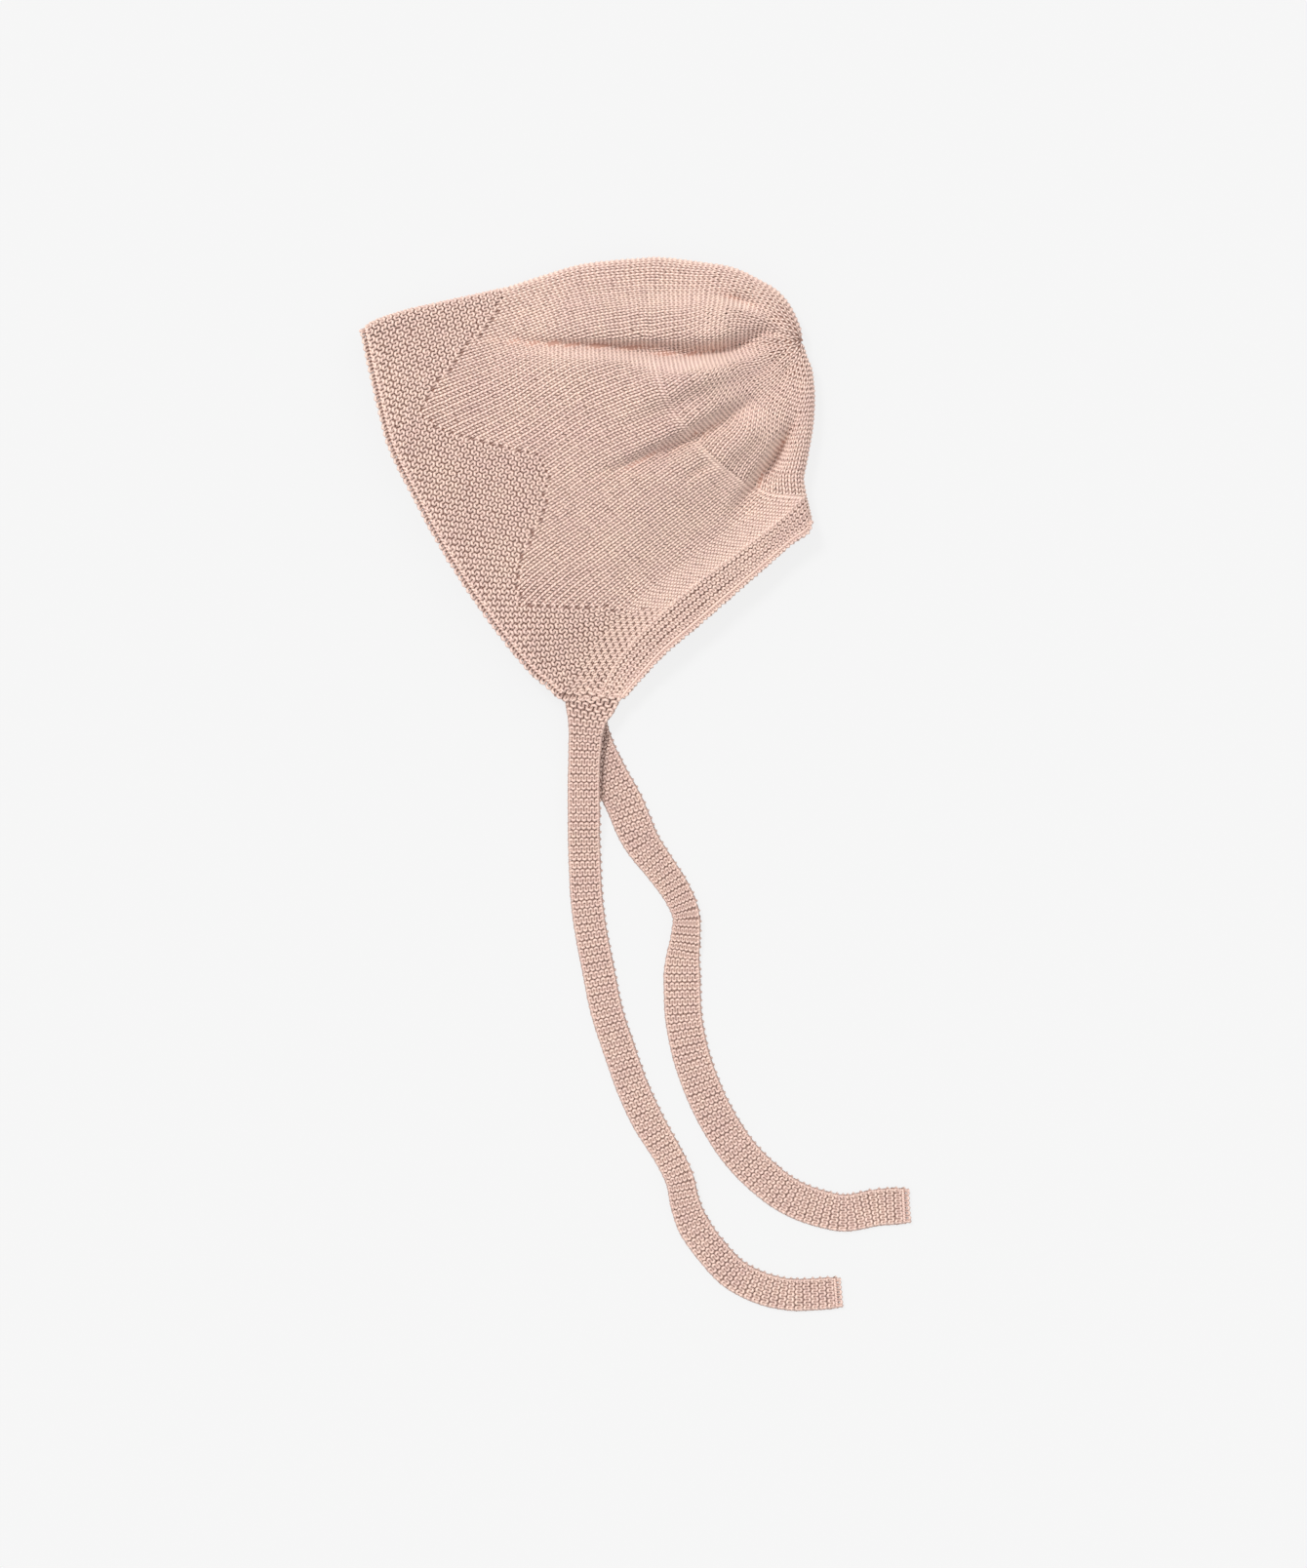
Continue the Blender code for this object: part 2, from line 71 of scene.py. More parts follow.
# Lines of the hood, in shares of depth and height
FOLD_LINE = (
    (0.002, 0.837), (0.021, 0.852), (0.056, 0.867), (0.107, 0.883), (0.158, 0.895),
    (0.310, 0.930), (0.391, 0.956), (0.489, 0.985), (0.613, 0.998), (0.662, 1.000),
    (0.735, 0.991), (0.816, 0.978),
    (0.878, 0.949), (0.919, 0.923), (0.947, 0.888), (0.968, 0.841), (0.974, 0.811),
    (0.981, 0.780), (0.994, 0.744), (1.000, 0.689), (0.998, 0.628), (0.991, 0.579),
    (0.981, 0.522), (0.976, 0.497), (0.983, 0.454), (0.994, 0.403),
)
POLE = (0.974, 0.811)
NECK_SEAM = (
    (0.983, 0.454), (0.921, 0.399), (0.835, 0.330), (0.750, 0.264),
    (0.673, 0.198), (0.613, 0.139), (0.566, 0.079), (0.524, 0.000),
)
NECK_EDGE = (
    (0.994, 0.403), (0.981, 0.378), (0.944, 0.352), (0.876, 0.291), (0.806, 0.229),
    (0.737, 0.167), (0.667, 0.106), (0.611, 0.044), (0.575, 0.000),
)
FACE_EDGE = (
    (0.002, 0.837), (0.009, 0.815), (0.036, 0.692), (0.068, 0.568), (0.126, 0.445),
    (0.192, 0.322), (0.271, 0.198), (0.363, 0.075), (0.419, 0.022), (0.440, 0.002),
    (0.452, 0.000), (0.524, 0.000),
)
ZIGZAG = (
    (0.000, 0.700), (0.050, 0.700), (0.090, 0.740), (0.130, 0.780), (0.170, 0.832),
    (0.215, 0.885), (0.235, 0.910), (0.300, 0.862), (0.360, 0.788), (0.450, 0.684),
    (0.500, 0.684), (0.560, 0.724), (0.610, 0.785), (0.645, 0.850), (0.690, 0.896),
    (0.720, 0.920), (0.800, 0.840), (0.860, 0.780), (0.940, 0.745), (1.000, 0.734),
)
# Soft folds of the near half as the knit shows them, steeper on one side than the other
# start, middle and end (shares of depth and height), half widths left and right of its way and
# height (mm), share of the way along where it is highest
FOLDS = (
    (0.291, 0.877, 0.647, 0.868, 0.934, 0.881, 5.0, 7.0, 3.6, 0.66),
    (0.186, 0.815, 0.494, 0.795, 0.818, 0.793, 1.9, 4.4, -6.6, 0.64),
    (0.515, 0.793, 0.733, 0.771, 0.938, 0.855, 3.0, 4.2, -9.0, 0.62),
    (0.464, 0.595, 0.673, 0.692, 0.947, 0.797, 7.0, 4.6, 4.4, 0.58),
    (0.434, 0.471, 0.682, 0.564, 0.921, 0.709, 2.8, 5.4, -6.4, 0.58),
    (0.780, 0.370, 0.895, 0.524, 0.981, 0.661, 2.6, 5.0, -7.2, 0.60),
    (0.686, 0.465, 0.818, 0.568, 0.947, 0.705, 3.8, 4.2, 1.8, 0.60),
    (0.759, 0.912, 0.825, 0.899, 0.900, 0.868, 2.0, 2.4, -3.8, 0.55),
    (0.686, 0.476, 0.739, 0.511, 0.810, 0.546, 1.8, 2.6, -1.8, 0.50),
)

# Routes of the ties: x and y in shares of TIE_DROP, underside in shares of FOOT_SPACING
NEAR_TIE_ROUTE = (
    (0.000, 0.000, 1.00), (-0.007, -0.032, 0.91), (-0.011, -0.077, 0.72), (-0.013, -0.134, 0.67),
    (-0.013, -0.192, 0.65), (-0.013, -0.227, 0.43), (-0.012, -0.262, 0.15), (-0.009, -0.326, 0.00),
    (-0.001, -0.387, 0.00), (0.011, -0.449, 0.00), (0.024, -0.513, 0.00), (0.045, -0.578, 0.00),
    (0.067, -0.640, 0.00), (0.093, -0.696, 0.00), (0.123, -0.747, 0.04), (0.144, -0.789, 0.26),
    (0.153, -0.829, 0.22), (0.169, -0.870, 0.04), (0.197, -0.909, 0.00), (0.232, -0.946, 0.00),
    (0.277, -0.970, 0.00), (0.323, -0.981, 0.00), (0.366, -0.981, 0.00), (0.406, -0.978, 0.00),
)
FAR_TIE_ROUTE = (
    (0.000, 0.000, 0.00), (-0.001, -0.038, 0.00), (0.008, -0.080, 0.00), (0.027, -0.123, 0.00),
    (0.053, -0.171, 0.00), (0.080, -0.232, 0.00), (0.114, -0.280, 0.00), (0.139, -0.317, 0.07),
    (0.155, -0.355, 0.30), (0.154, -0.394, 0.30), (0.149, -0.435, 0.07), (0.149, -0.486, 0.00),
    (0.152, -0.531, 0.00), (0.163, -0.585, 0.00), (0.181, -0.638, 0.00), (0.205, -0.689, 0.00),
    (0.238, -0.741, 0.00), (0.278, -0.784, 0.00), (0.323, -0.818, 0.00), (0.371, -0.838, 0.00),
    (0.419, -0.847, 0.00), (0.470, -0.838, 0.00), (0.518, -0.835, 0.00),
)
NEAR_TIE_SHAPE = (
    (0.000, 1.72), (0.013, 1.58), (0.030, 1.26), (0.052, 1.06), (0.086, 1.00), (0.600, 1.00),
    (0.655, 0.91), (0.715, 0.90), (0.760, 1.00), (1.000, 1.00),
)
FAR_TIE_SHAPE = (
    (0.000, 1.50), (0.013, 1.15), (0.029, 0.97), (0.050, 0.93), (0.104, 1.00), (0.200, 1.03),
    (0.267, 0.88), (0.317, 0.80), (0.358, 0.75), (0.392, 0.83), (0.442, 1.00), (1.000, 1.00),
)

# Rows and stitches of the knit, lengths in metres
YARN_RADIUS = 0.00038
FULL_STITCH = 0.0019
NARROW_STITCH = 0.00125
GARTER_PITCH = 0.00120
TIE_PITCH = 0.00131
ROWS = 105
NECK_ROWS = 8
NEAR_WALES = 64
FAR_WALES = 48
FEWEST_WALES = 5
FIT_ROW = 0.9
BAND_DROP = 0.94
BAND_FILL = 0.97
NEAR_NECK_WALES = 56
FAR_NECK_WALES = 44
NEAR_TIE_WALES = 6
FAR_TIE_WALES = 7

# Rows from the face edge where the face pieces and the crown pieces end
FACE_ROWS = 31
TOP_ROWS = 62

# Places of the first rows, in rows from the edge that they start at
HOOD_ROW_START = 0.62
NECK_ROW_START = -0.5
TIE_ROW_START = 0.6
TIE_ROOT_ROWS = 4
ROW_SLACK = 0.05

# Yarn points to a stitch
NEAR_STEPS = 8
FAR_STEPS = 6
TIE_STEPS = 10

# Loops of the knit: reach in rows, spread in wales, depth, yarn radius
PLAIN_LOOP = (0.86, 0.335, 0.00044, 0.00039)
GARTER_LOOP = (1.18, 0.205, 0.00054, 0.00045)
LOOP_ROUNDING = 0.17
FRONT_SWELL = 0.14
SQUEEZE_POWER = 0.7

# Knobs at the row ends of the ties: extra radius and reach in wales
KNOB = 0.45
KNOB_REACH = 0.22

# Unevenness of the stitches, as shares of a size or of a stitch
UNEVEN_SPREAD = 0.08
UNEVEN_PLACE = 0.03
UNEVEN_REACH = 0.04
UNEVEN_ROW = 0.05
UNEVEN_YARN = 0.04

# Wound yarns along the edges: place along the fabric, radius and swing
FACE_EDGE_AT = 0.9912
NECK_EDGE_AT = 0.918
TIE_END_ROW = 0.58
EDGE_YARN = (0.00042, 0.00030)
TIE_END_YARN = (0.00040, 0.00030)
EDGE_STOP = 0.915
WOUND_STEPS = 6
INWARD_STEP = 0.01

# Surfaces that the knit lies on
SETTLE = 0.0004
FOLD_SAMPLES = 160
CHUNK = 8000
RELAX_ROUNDS = 25
RELAX_STEPS = 16
FINER = 8
PLEAT_SHARE = 0.6
HOOD_ROWS = 421
HOOD_COLUMNS = 241
ARC_STEPS = 161
STRIP_STEPS = 161
STRIP_ROWS = 17
STRIP_CROWDING = 1.15
BEYOND_STEP = 0.002

# Ties: rolled long edges (radius, degrees), lift over the flap's foot and narrowing at the end
TIE_SKIN_ROWS = 481
TIE_SKIN_COLUMNS = 49
ROLL_START = 0.006
ROLL_REACH = 0.010
RIGHT_ROLL = (0.00080, 60)
LEFT_ROLL = (0.00060, 36)
CLOSED_ROLL = 0.25
ROLL_POINTS = 13
FLAT_POINTS = 17
ROOT_LIFT = 0.0009
END_START = 0.0040
END_SHARE = 0.05

# Thin sheet under the yarns that stops the floor showing through; its dark colour is painted shade in
# the gaps between stitches
CORE_WALL = 0.0005
CORE_DROP = 0.00040
TIE_CORE_STEPS = slice(2, -2, 3)
HOOD_CORE_TRIM = 4
HOOD_CORE_ROW_STEP = 5
HOOD_CORE_STEP = 6
NECK_CORE_ROW_STEP = 2
NECK_CORE_STEP = 4

# Flat maps for baking: share of a strip that a yarn fills, its margin, and share of a part
STRIP_SHARE = 0.94
STRIP_MARGIN = 0.03
PART_SHARE = 0.998
SIDES = 4

# Camera
VIEW_CENTRE = (0.0215, -0.1010)
VIEW_HEIGHT_SPAN = 0.5154
CAMERA_HEIGHT = 2.2
VIEW_LEVEL = 0.008
SENSOR = 36.0

# Colours, and how far the painted shade darkens recessed yarn
PINK = (0.935, 0.706, 0.616)
TIE_PINK = (0.885, 0.663, 0.578)
# Dark colour of the sheets under the yarns: painted shade in the gaps between stitches
SHADE_SHEET_TINT = (0.52, 0.30, 0.235)
# Colour of the painted shade in recessed yarn
HOLLOW_SHADE = (0.19, 0.105, 0.085)
CROWN_ROUGHNESS = 0.85
GARTER_ROUGHNESS = 0.87
GARTER_SHADE = 0.18
SHADE_MIDDLE = 0.5
SHADE_LOOP = 0.32
SHADE_ROUND = 0.18

# Light and floor
WORLD_LIGHT = 0.90
KEY_LIGHT = 2.1
KEY_WAY = (0.42, -0.55, -0.90)
KEY_ANGLE = 16
FLOOR_HALF = 6.0
FLOOR_GREYS = (0.068, 0.072)
FLOOR_GLOW = 0.825

rng = np.random.default_rng(7)


# Surfaces of the solids

def smooth_step(x):
    t = np.clip(x, 0.0, 1.0)
    return t * t * (3.0 - 2.0 * t)


def to_plan(rows):
    shares = np.array(rows)[:, :2]
    return (shares - 0.5) * (HOOD_DEPTH, HOOD_HEIGHT)


def run_length(points):
    steps = np.linalg.norm(np.diff(points, axis=0), axis=1)
    return np.concatenate(([0.0], np.cumsum(steps)))


def resample(points, count):
    length = run_length(points)
    even = np.linspace(0.0, length[-1], count)
    return np.stack([np.interp(even, length, axis) for axis in points.T], axis=1)


def smooth_curve(points, count):
    ends = np.vstack([2 * points[0] - points[1], points, 2 * points[-1] - points[-2]])
    steps = np.linspace(0.0, 1.0, SPAN_STEPS, endpoint=False)[:, None]
    spans = []
    for before, start, end, after in zip(ends, ends[1:], ends[2:], ends[3:]):
        spans.append(0.5 * (2 * start + (end - before) * steps
                            + (2 * before - 5 * start + 4 * end - after) * steps ** 2
                            + (3 * start - before - 3 * end + after) * steps ** 3))
    spans.append(points[-1:])
    return resample(np.vstack(spans), count)


def inset(line, distance):
    along = np.gradient(line, axis=0)
    along /= np.linalg.norm(along, axis=1)[:, None]
    inward = np.stack([along[:, 1], -along[:, 0]], axis=1)
    return line + inward * distance


def nearest(line, point):
    return int(np.argmin(np.linalg.norm(line - point, axis=1)))


def distance_to_line(points, line):
    start = line[:-1]
    span = line[1:] - start
    size = (span ** 2).sum(axis=1)
    out = np.empty(len(points))
    for first in range(0, len(points), CHUNK):
        part = slice(first, first + CHUNK)
        offset = points[part, None, :] - start[None]
        share = np.clip((offset * span[None]).sum(axis=2) / size[None], 0.0, 1.0)
        gap = offset - share[..., None] * span[None]
        out[part] = np.sqrt((gap ** 2).sum(axis=2)).min(axis=1)
    return out


class Hood:
    """Plan lanes from the pole to the face edge, and the heights of the two halves."""

    def __init__(self):
        fold = inset(smooth_curve(to_plan(FOLD_LINE), CURVE_STEPS), CROWN_WALL / 2)
        pole_at = nearest(fold, to_plan([POLE])[0])
        seam = to_plan(NECK_SEAM)
        seam_at = nearest(fold, seam[0])
        back = fold[pole_at:seam_at + 1]
        self.fold = fold
        self.back = fold[pole_at:]
        self.pole = fold[pole_at]
        self.foot = to_plan(FACE_EDGE[-1:])[0]
        self.top = resample(fold[:pole_at + 1][::-1], CURVE_STEPS)
        below = smooth_curve(np.vstack([back[-1:], seam[1:]]), CURVE_STEPS)
        self.side = resample(np.vstack([back, below[1:]]), CURVE_STEPS)
        self.nape_share = run_length(back)[-1] / run_length(self.side)[-1]
        edge = to_plan(FACE_EDGE)
        self.face = smooth_curve(np.vstack([fold[:1], edge[1:]]), CURVE_STEPS)
        neck_edge = to_plan(NECK_EDGE)
        self.neck_edge = smooth_curve(np.vstack([fold[-1:], neck_edge[1:]]), CURVE_STEPS)
        solid_lanes = self.make_lanes()
        self.lanes = relaxed(solid_lanes)
        self.zigzag = zigzag_on(self.lanes, solid_lanes)
        self.width = np.linalg.norm(np.diff(self.lanes, axis=0), axis=2).sum(axis=0)
        self.length = np.linalg.norm(np.diff(self.lanes, axis=1), axis=2).sum(axis=1)

    def make_lanes(self):
        share = np.linspace(0.0, 1.0, CURVE_STEPS)[:, None]
        top_bulge = self.top - ((1 - share) * self.pole + share * self.top[-1])
        side_bulge = self.side - ((1 - share) * self.pole + share * self.side[-1])
        sharp = 1 + POLE_FAN * (1 - share) ** POLE_FAN_FADE
        lanes = []
        for across in np.linspace(0.0, 1.0, LANES):
            end = self.face[int(round(across * (CURVE_STEPS - 1)))]
            straight = (1 - share) * self.pole + share * end
            lane = straight + (1 - across) ** sharp * top_bulge + across ** sharp * side_bulge
            lanes.append(resample(lane, LANE_STEPS))
        return np.array(lanes)

    def zigzag_at(self, across):
        return np.interp(across, np.linspace(0.0, 1.0, LANES), self.zigzag)

    def width_at(self, along):
        return np.interp(along, np.linspace(0.0, 1.0, LANE_STEPS), self.width)

    def length_at(self, across):
        return np.interp(across, np.linspace(0.0, 1.0, LANES), self.length)

    def plan(self, across, along):
        row = np.clip(across, 0.0, 1.0) * (LANES - 1)
        column = np.clip(along, 0.0, 1.0) * (LANE_STEPS - 1)
        row_at = np.minimum(row.astype(int), LANES - 2)
        column_at = np.minimum(column.astype(int), LANE_STEPS - 2)
        u = (row - row_at)[:, None]
        v = (column - column_at)[:, None]
        upper = (1 - v) * self.lanes[row_at, column_at] + v * self.lanes[row_at, column_at + 1]
        lower = (1 - v) * self.lanes[row_at + 1, column_at] + v * self.lanes[row_at + 1, column_at + 1]
        return (1 - u) * upper + u * lower

    def heights(self, points, on_fold):
        base = FACE_BAND_WALL / 2
        edge = distance_to_line(points, self.fold)
        edge[on_fold] = 0.0
        foot = np.linalg.norm(points - self.foot, axis=1)
        spacing = FOOT_SPACING + (HALF_SPACING - FOOT_SPACING) * smooth_step(foot / FOOT_REACH)
        bent = 1.0 - np.clip(edge / (spacing / 2), 0.0, 1.0)
        open_share = np.sqrt(1.0 - bent ** 2)
        near = base + spacing * (1 + open_share) / 2
        far = base + spacing * (1 - open_share) / 2
        settled = SETTLE * smooth_step(edge / HALF_SPACING)
        return near + self.relief(points, edge), far - settled

    def relief(self, points, edge):
        off_top = smooth_step(distance_to_line(points, self.top) / CROWN_SHOULDER)
        off_back = smooth_step(distance_to_line(points, self.back) / CROWN_SHOULDER)
        face_way = distance_to_line(points, self.face)
        neck_way = distance_to_line(points, self.neck_edge)
        inner = smooth_step(face_way / CROWN_FACE_SLOPE) * smooth_step(neck_way / CROWN_NECK_SLOPE)
        arch = smooth_step(edge / FACE_ARCH_REACH) * smooth_step(neck_way / CROWN_NECK_SLOPE)
        rise = CROWN_RISE * off_top * off_back * inner + FACE_RISE * arch
        for fold in FOLDS:
            rise = rise + fold_height(points, fold) * smooth_step(edge / CREASE_CLEARANCE)
        from_pole = points - self.pole
        reach = np.linalg.norm(from_pole, axis=1)
        turn = np.arctan2(from_pole[:, 1], -from_pole[:, 0])
        fade = smooth_step(reach / PLEAT_START - 1) * (1 - smooth_step(reach / PLEAT_REACH))
        clear = smooth_step(edge / CREASE_CLEARANCE)
        return rise + PLEAT_SHARE * PLEAT_HEIGHT * fade * clear * np.cos(2 * PLEATS * turn)


def fold_height(points, fold):
    """Height of one fold, which may be steeper on one side, and fades to its ends."""
    start, middle, end = to_plan((fold[0:2], fold[2:4], fold[4:6]))
    left, right, height = np.array(fold[6:9]) * 0.001
    peak = fold[9]
    share = np.linspace(0.0, 1.0, FOLD_SAMPLES)[:, None]
    control = 2 * middle - (start + end) / 2
    line = (1 - share) ** 2 * start + 2 * share * (1 - share) * control + share ** 2 * end
    way = np.gradient(line, axis=0)
    out = np.empty(len(points))
    for first in range(0, len(points), CHUNK):
        part = points[first:first + CHUNK]
        gap = np.linalg.norm(part[:, None, :] - line[None], axis=2)
        near = gap.argmin(axis=1)
        off = part - line[near]
        side = way[near, 0] * off[:, 1] - way[near, 1] * off[:, 0]
        width = np.where(side > 0, left, right)
        at = near / (FOLD_SAMPLES - 1)
        rising = smooth_step(at / peak)
        falling = smooth_step((1 - at) / (1 - peak))
        fade = np.where(at < peak, rising, falling)
        out[first:first + CHUNK] = height * fade * np.exp(-(gap.min(axis=1) / width) ** 2)
    return out


def relaxed(lanes):
    """The lanes with the corners of the border smoothed away inside the hood."""
    lanes = lanes.copy()
    for _ in range(RELAX_ROUNDS):
        for _ in range(RELAX_STEPS):
            across = lanes[:-2, 1:-1] + lanes[2:, 1:-1]
            lanes[1:-1, 1:-1] = (across + lanes[1:-1, :-2] + lanes[1:-1, 2:]) / 4
        for at in range(1, LANES - 1):
            lanes[at] = resample(lanes[at], LANE_STEPS)
    return lanes


def zigzag_on(lanes, solid_lanes):
    """Where each lane crosses the zigzag line of the solids, as a share of the lane."""
    across = np.linspace(0.0, 1.0, FINER * LANES)
    table = np.array(ZIGZAG)
    along = np.interp(across, table[:, 0], table[:, 1])
    row = across * (LANES - 1)
    column = along * (LANE_STEPS - 1)
    i = np.minimum(row.astype(int), LANES - 2)
    j = np.minimum(column.astype(int), LANE_STEPS - 2)
    u = (row - i)[:, None]
    v = (column - j)[:, None]
    line = ((1 - u) * ((1 - v) * solid_lanes[i, j] + v * solid_lanes[i, j + 1])
            + u * ((1 - v) * solid_lanes[i + 1, j] + v * solid_lanes[i + 1, j + 1]))
    found = []
    for lane in lanes:
        fine = resample(lane, FINER * LANE_STEPS)
        gap = np.linalg.norm(fine[:, None] - line[None], axis=2).min(axis=1)
        found.append(gap.argmin() / (len(fine) - 1))
    return np.array(found)


def plan_share(arc_share, width):
    """Plan shares across the hood for shares of arc length, given the rounded folds at both sides."""
    radius = min(HALF_SPACING / 2, width / 4)
    extra = (math.pi / 2 - 1) * radius
    arc = math.pi / 2 * radius
    total = width + 2 * extra
    run = arc_share * total
    left = total - run
    place = run - extra
    place = np.where(run < arc, radius * (1 - np.cos(np.minimum(run, arc) / radius)), place)
    far_place = width - radius * (1 - np.cos(np.minimum(left, arc) / radius))
    place = np.where(left < arc, far_place, place)
    return np.clip(place / width, 0.0, 1.0)


# A fabric surface that knitting lies on

class Skin:
    """A grid of middle surface points with outward normals, read at shares across and along."""

    def __init__(self, grid, outward):
        self.grid = grid
        across = np.gradient(grid, axis=1)
        along = np.gradient(grid, axis=0)
        normal = np.cross(across, along)
        size = np.linalg.norm(normal, axis=2)
        normal /= np.maximum(size, 1e-12)[..., None]
        weak = size < 1e-9
        for row in range(len(grid) - 2, -1, -1):
            normal[row][weak[row]] = normal[row + 1][weak[row]]
        middle = normal[grid.shape[0] // 2, grid.shape[1] // 2]
        if middle[2] * outward < 0:
            normal = -normal
        self.normal = normal

    def at(self, across, along):
        rows, columns = self.grid.shape[:2]
        y = np.clip(along, 0.0, 1.0) * (rows - 1)
        x = np.clip(across, 0.0, 1.0) * (columns - 1)
        i = np.minimum(y.astype(int), rows - 2)
        j = np.minimum(x.astype(int), columns - 2)
        v = (y - i)[..., None]
        u = (x - j)[..., None]
        found = []
        for table in (self.grid, self.normal):
            found.append((1 - v) * ((1 - u) * table[i, j] + u * table[i, j + 1])
                         + v * ((1 - u) * table[i + 1, j] + u * table[i + 1, j + 1]))
        found[1] /= np.linalg.norm(found[1], axis=-1)[..., None]
        return found

    def beyond(self, across, along):
        """As at(), and going straight on past the ends along."""
        place, normal = self.at(across, along)
        over = along - np.clip(along, 0.0, 1.0)
        if np.any(over != 0):
            inner = np.where(over > 0, 1 - BEYOND_STEP, BEYOND_STEP)
            edge = np.where(over > 0, 1.0, 0.0)
            start, _ = self.at(across, inner)
            end, _ = self.at(across, edge)
            place = place + (end - start) * (over / (edge - inner))[..., None]
        return place, normal


def hood_skins(hood):
    """Middle surfaces of the near and far halves, even in arc length across."""
    fine = np.linspace(0.0, 1.0, ARC_STEPS)
    along_rows = np.linspace(0.0, 1.0, HOOD_ROWS)
    across = []
    folded = []
    for along in along_rows:
        closed = along <= hood.nape_share
        width = max(hood.width_at(along), 1e-5)
        share = plan_share(fine, width)
        across.append(share)
        folded.append((share <= 1e-9) | (closed & (share >= 1 - 1e-9)))
    across = np.concatenate(across)
    folded = np.concatenate(folded)
    along = np.repeat(along_rows, len(fine))
    plan = hood.plan(across, along)
    near_z, far_z = hood.heights(plan, folded)
    skins = []
    shares = []
    for z, outward in ((near_z, 1), (far_z, -1)):
        points = np.column_stack([plan, z]).reshape(HOOD_ROWS, len(fine), 3)
        grid = np.empty((HOOD_ROWS, HOOD_COLUMNS, 3))
        share_grid = np.empty((HOOD_ROWS, HOOD_COLUMNS))
        for row in range(HOOD_ROWS):
            length = run_length(points[row])
            length[-1] = max(length[-1], 1e-9)
            even = np.linspace(0.0, length[-1], HOOD_COLUMNS)
            for axis in range(3):
                grid[row, :, axis] = np.interp(even, length, points[row, :, axis])
            share_grid[row] = np.interp(even, length, across.reshape(HOOD_ROWS, -1)[row])
        skins.append(Skin(grid, outward))
        shares.append(share_grid)
    return skins, shares


def strip_skin(hood, near):
    """Middle surface of one half of the neck band, from the nape to the foot of the flap."""
    start = np.linspace(0.0, 1.0, STRIP_STEPS) ** STRIP_CROWDING
    stations = hood.nape_share + (1 - hood.nape_share) * start
    inner = hood.plan(np.ones(STRIP_STEPS), stations)
    length = np.linspace(0.0, 1.0, CURVE_STEPS)
    outer = np.stack([np.interp(start, length, axis) for axis in hood.neck_edge.T], axis=1)
    shares = np.linspace(0.0, 1.0, STRIP_ROWS)
    plan = inner[None] + shares[:, None, None] * (outer - inner)[None]
    flat = plan.reshape(-1, 2)
    near_z, far_z = hood.heights(flat, np.tile(np.arange(STRIP_STEPS) == 0, STRIP_ROWS))
    z = near_z if near else far_z
    grid = np.column_stack([flat, z]).reshape(STRIP_ROWS, STRIP_STEPS, 3)
    even = np.empty_like(grid)
    for row in range(STRIP_ROWS):
        even[row] = resample(grid[row], STRIP_STEPS)
    return Skin(even, 1 if near else -1)


def tie_line(hood, route):
    corner = to_plan(FACE_EDGE[-3:-2])[0]
    outer = hood.neck_edge[-1]
    root = np.array([(corner[0] + outer[0]) / 2, hood.foot[1] - TIE_GAP, TIE_WALL / 2])
    return np.array(route) * (TIE_DROP, TIE_DROP, FOOT_SPACING) + root


def tie_skin(line, shape, width):
    """Middle surface of a tie, flat with both long edges rolled up, with its middle line and length."""
    points = smooth_curve(line, TIE_SKIN_ROWS)
    run = run_length(points)
    along = np.gradient(points[:, :2], axis=0)
    along /= np.linalg.norm(along, axis=1)[:, None]
    across = np.stack([-along[:, 1], along[:, 0]], axis=1)
    table = np.array(shape)
    half = width / 2 * np.interp(run / run[-1], table[:, 0], table[:, 1]) - YARN_RADIUS
    grid = np.empty((TIE_SKIN_ROWS, TIE_SKIN_COLUMNS, 3))
    opening = smooth_step((run - ROLL_START) / ROLL_REACH)
    half *= 1 - END_SHARE * smooth_step(1 - (run[-1] - run) / END_START) ** 2
    for row in range(TIE_SKIN_ROWS):
        sides = []
        for radius, turn in (LEFT_ROLL, RIGHT_ROLL):
            bend = math.radians(turn * (CLOSED_ROLL + (1 - CLOSED_ROLL) * opening[row]))
            angle = np.linspace(0.0, bend, ROLL_POINTS)
            sides.append((half[row] - radius + radius * np.sin(angle), radius - radius * np.cos(angle)))
        (left_x, left_z), (right_x, right_z) = sides
        flat = np.linspace(-left_x[0], right_x[0], FLAT_POINTS)[1:-1]
        x = np.concatenate([-left_x[::-1], flat, right_x])
        z = np.concatenate([left_z[::-1], np.zeros(len(flat)), right_z])
        section = resample(np.column_stack([x, z]), TIE_SKIN_COLUMNS)
        low = max(points[row, 2], TIE_WALL / 2) - SETTLE + ROOT_LIFT * (1 - opening[row])
        grid[row, :, :2] = points[row, :2] + section[:, :1] * across[row]
        grid[row, :, 2] = low + section[:, 1]
    return Skin(grid, 1), points, run[-1]


# Knitting

